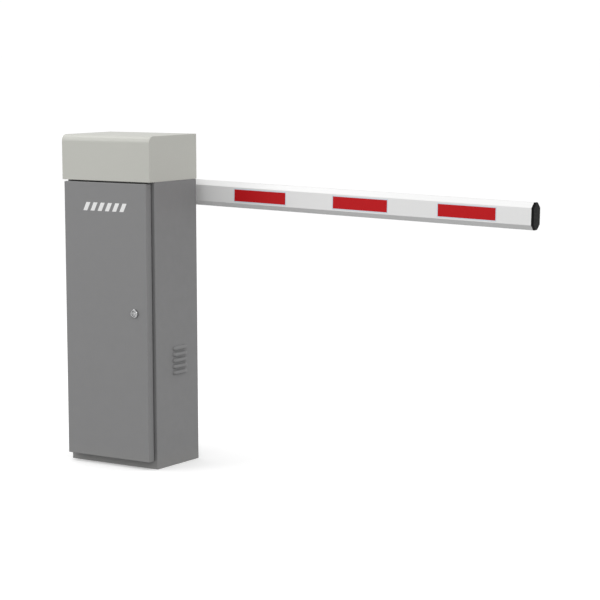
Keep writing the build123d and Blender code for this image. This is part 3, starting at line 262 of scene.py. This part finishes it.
def plated_steel(name, colour, roughness):
    """Zinc plate: large soft spangles, fine rolling lines and small dull specks."""
    metal = Finish(name, colour, metallic=1.0)
    metal.shade(metal.cells(90), 0.14, 0.2, 0.8)
    metal.shade(metal.noise(14, 4), 0.1)
    metal.gloss(metal.noise(60, 4), roughness - 0.09, roughness + 0.12)
    metal.bump(metal.noise(700, 3, (1, 0.08, 0.08)), 0.00003, 0.5)
    return metal


def zinc_steel():
    return plated_steel("zinc_steel", (0.56, 0.565, 0.56), 0.38)


def fastener_steel():
    return plated_steel("fastener_steel", (0.62, 0.61, 0.57), 0.3)


def cam_steel():
    return plated_steel("cam_steel", (0.58, 0.56, 0.5), 0.34)


def machined_steel():
    """Turned steel, with fine tool marks round the shafts and a film of oil."""
    metal = Finish("machined_steel", (0.52, 0.52, 0.53), metallic=1.0)
    metal.shade(metal.noise(25, 4), 0.15)
    metal.gloss(metal.noise(220, 3, (0.2, 1, 0.2)), 0.16, 0.36)
    metal.bump(metal.waves(900, "Y", 0.6), 0.00001, 0.4)
    return metal


def cast_finish(name, colour, roughness, metallic=0.0):
    """A rough casting: coarse grain with darker spots, in bare or painted metal."""
    metal = Finish(name, colour, metallic=metallic)
    metal.shade(metal.noise(30, 4), 0.2)
    metal.shade(metal.noise(500, 2), 0.12)
    metal.gloss(metal.noise(90, 3), roughness - 0.1, roughness + 0.12)
    metal.bump(metal.noise(350, 3), 0.0002, 0.6)
    metal.bump(metal.cell_edges(900), 0.00006, 0.4)
    return metal


def cast_iron():
    return cast_finish("cast_iron", (0.10, 0.115, 0.135), 0.5)


def gearbox_alloy():
    return cast_finish("gearbox_alloy", (0.52, 0.53, 0.54), 0.42, 0.9)


def motor_paint():
    return cast_finish("motor_paint", (0.03, 0.075, 0.14), 0.38)


def motor_iron():
    iron = Finish("motor_iron", (0.3, 0.3, 0.31), 0.45, 0.9)
    iron.bump(iron.waves(1000, "Z"), 0.0001, 0.5)
    iron.shade(iron.noise(60, 3), 0.2)
    return iron


def bronze():
    metal = Finish("bronze", (0.62, 0.40, 0.17), metallic=1.0)
    metal.shade(metal.noise(40, 4), 0.25)
    metal.gloss(metal.noise(150, 3), 0.22, 0.42)
    metal.bump(metal.noise(700, 2), 0.00003, 0.5)
    return metal


def black_plastic():
    """Moulded nylon with a fine spark-eroded grain."""
    plastic = Finish("black_plastic", (0.004, 0.004, 0.0043))
    plastic.shader.inputs["Specular IOR Level"].default_value = 0.1
    plastic.shade(plastic.noise(18, 3), 0.25)
    plastic.gloss(plastic.noise(300, 3), 0.42, 0.6)
    plastic.bump(plastic.cell_edges(1500), 0.00008, 0.5)
    return plastic


def rubber():
    soft = Finish("rubber", (0.018, 0.018, 0.018), 0.78)
    soft.shade(soft.noise(60, 3), 0.3)
    soft.tint(soft.noise(20, 4), (0.04, 0.039, 0.037), 0.55, 0.85)
    soft.bump(soft.noise(900, 3), 0.00008, 0.6)
    return soft


def spring_steel():
    wire = Finish("spring_steel", (0.13, 0.125, 0.12), metallic=1.0)
    wire.tint(wire.noise(90, 4), (0.2, 0.17, 0.13), 0.5, 0.8)
    wire.gloss(wire.noise(200, 3), 0.25, 0.5)
    wire.bump(wire.noise(900, 2), 0.00003, 0.6)
    return wire


def yoke_steel():
    return cast_finish("yoke_steel", (0.028, 0.028, 0.03), 0.4)


def chrome():
    """Polished chrome with hairline scratches."""
    metal = Finish("chrome", (0.36, 0.362, 0.366), metallic=1.0)
    metal.gloss(metal.noise(1500, 2, (1, 1, 0.03)), 0.07, 0.22)
    metal.bump(metal.noise(2500, 1, (1, 1, 0.02)), 0.00001, 0.4)
    return metal


def mark_white():
    film = Finish("mark_white", (0.86, 0.86, 0.855), 0.4)
    film.shade(film.noise(30, 3), 0.03)
    film.bump(film.noise(900, 2), 0.00003, 0.5)
    return film


def circuit():
    """Green solder mask with copper tracks showing through as lighter lines."""
    mask = Finish("circuit", (0.012, 0.12, 0.05), 0.25, coat=0.4)
    mask.tint(mask.cell_edges(TRACKS), (0.03, 0.22, 0.09), 0.08, 0.04)
    mask.shade(mask.noise(80, 2), 0.2)
    mask.bump(mask.cell_edges(TRACKS), 0.00005, 0.5)
    return mask


def winding():
    """Varnished laminations and windings."""
    iron = Finish("winding", (0.16, 0.10, 0.06), 0.35)
    iron.bump(iron.waves(600, "Y"), 0.0002, 0.5)
    iron.shade(iron.noise(70, 3), 0.3)
    return iron


# Each maker has the name of the material slot that it fills.
MAKERS = (
    cabinet_paint, lid_paint, bracket_paint, boom_white, strip_red, strip_border, zinc_steel,
    fastener_steel, cam_steel, machined_steel, cast_iron, gearbox_alloy, motor_paint, motor_iron,
    bronze, black_plastic, rubber, spring_steel, yoke_steel, chrome, mark_white, circuit, winding,
)
finishes = {maker.__name__: maker().material for maker in MAKERS}


def paint_cad_nodes():
    """Gives every CAD node the finish of its slot in the record."""
    for subpart in frame["record"]["subparts"]:
        node = frame["nodes"][subpart["node"]]
        for material_slot in node.material_slots:
            material_slot.material = finishes[subpart["material_slot"]]


# Springs

def add_springs():
    """The balance springs, copied to ride with their hanger, which comes down to their held lower ends.
    """
    coils = frame["nodes"]["balance_springs"].data.copy()
    springs = bpy.data.objects.new("springs_on_hanger", coils)
    bpy.context.scene.collection.objects.link(springs)
    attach(springs, "spring_hanger")
    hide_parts("balance_springs")
    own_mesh(springs)


# Camera, floor and light

def camera_turn():
    """The camera's rotation from its azimuth, elevation and roll."""
    aim = Matrix.Rotation(radians(CAMERA_AZIMUTH), 4, "Z")
    tilt = Matrix.Rotation(radians(90 - CAMERA_ELEVATION), 4, "X")
    return aim @ tilt @ Matrix.Rotation(radians(CAMERA_ROLL), 4, "Z")


def add_camera():
    data = bpy.data.cameras.new("camera")
    data.lens = CAMERA_LENS
    data.sensor_width = SENSOR_WIDTH
    data.clip_end = FARTHEST_SEEN
    camera = bpy.data.objects.new("camera", data)
    camera.matrix_world = Matrix.Translation(CAMERA_PLACE) @ camera_turn()
    bpy.context.scene.collection.objects.link(camera)
    bpy.context.scene.camera = camera


def add_floor():
    """A pale floor that doesn't light the object, so that its undersides stay shaded."""
    mesh = bmesh.new()
    bmesh.ops.create_grid(mesh, x_segments=1, y_segments=1, size=FLOOR_SIZE)
    data = bpy.data.meshes.new("floor")
    mesh.to_mesh(data)
    mesh.free()
    finish = Finish("floor", FLOOR_COLOUR, 0.9)
    finish.shader.inputs["Emission Color"].default_value = (1, 1, 1, 1)
    finish.shader.inputs["Emission Strength"].default_value = FLOOR_GLOW
    finish.shade(finish.noise(2, 2), 0.01)
    data.materials.append(finish.material)
    floor = bpy.data.objects.new("floor", data)
    bpy.context.scene.collection.objects.link(floor)
    floor.visible_diffuse = False


def grey(level):
    return (level, level, level, 1)


def add_sky():
    """A studio sky: dim below, white at the horizon to hide the floor's far edge, bright above."""
    world = bpy.data.worlds.new("studio")
    world.use_nodes = True
    nodes, links = world.node_tree.nodes, world.node_tree.links
    direction = nodes.new("ShaderNodeTexCoord")
    split = nodes.new("ShaderNodeSeparateXYZ")
    ramp = nodes.new("ShaderNodeValToRGB")
    spread = nodes.new("ShaderNodeMapRange")
    spread.inputs["From Min"].default_value = -1
    links.new(direction.outputs["Generated"], split.inputs["Vector"])
    links.new(split.outputs["Z"], spread.inputs["Value"])
    links.new(spread.outputs["Result"], ramp.inputs["Fac"])
    links.new(ramp.outputs["Color"], nodes["Background"].inputs["Color"])
    ramp.color_ramp.elements[0].color = grey(SKY_BELOW)
    ramp.color_ramp.elements[1].color = grey(SKY_ABOVE)
    for place, level in SKY_LEVELS:
        ramp.color_ramp.elements.new(place).color = grey(level)
    nodes["Background"].inputs["Strength"].default_value = SKY_STRENGTH
    bpy.context.scene.world = world


def add_softbox(name, place, width, power):
    """A square area light that faces the cabinet."""
    data = bpy.data.lights.new(name, "AREA")
    data.size = width
    data.energy = power
    lamp = bpy.data.objects.new(name, data)
    lamp.location = place
    lamp.rotation_euler = (SOFTBOX_AIM - Vector(place)).to_track_quat("-Z", "Y").to_euler()
    bpy.context.scene.collection.objects.link(lamp)


paint_cad_nodes()
add_springs()
add_camera()
add_floor()
add_sky()
for softbox in SOFTBOXES:
    add_softbox(*softbox)
bpy.context.scene.view_settings.view_transform = "Standard"
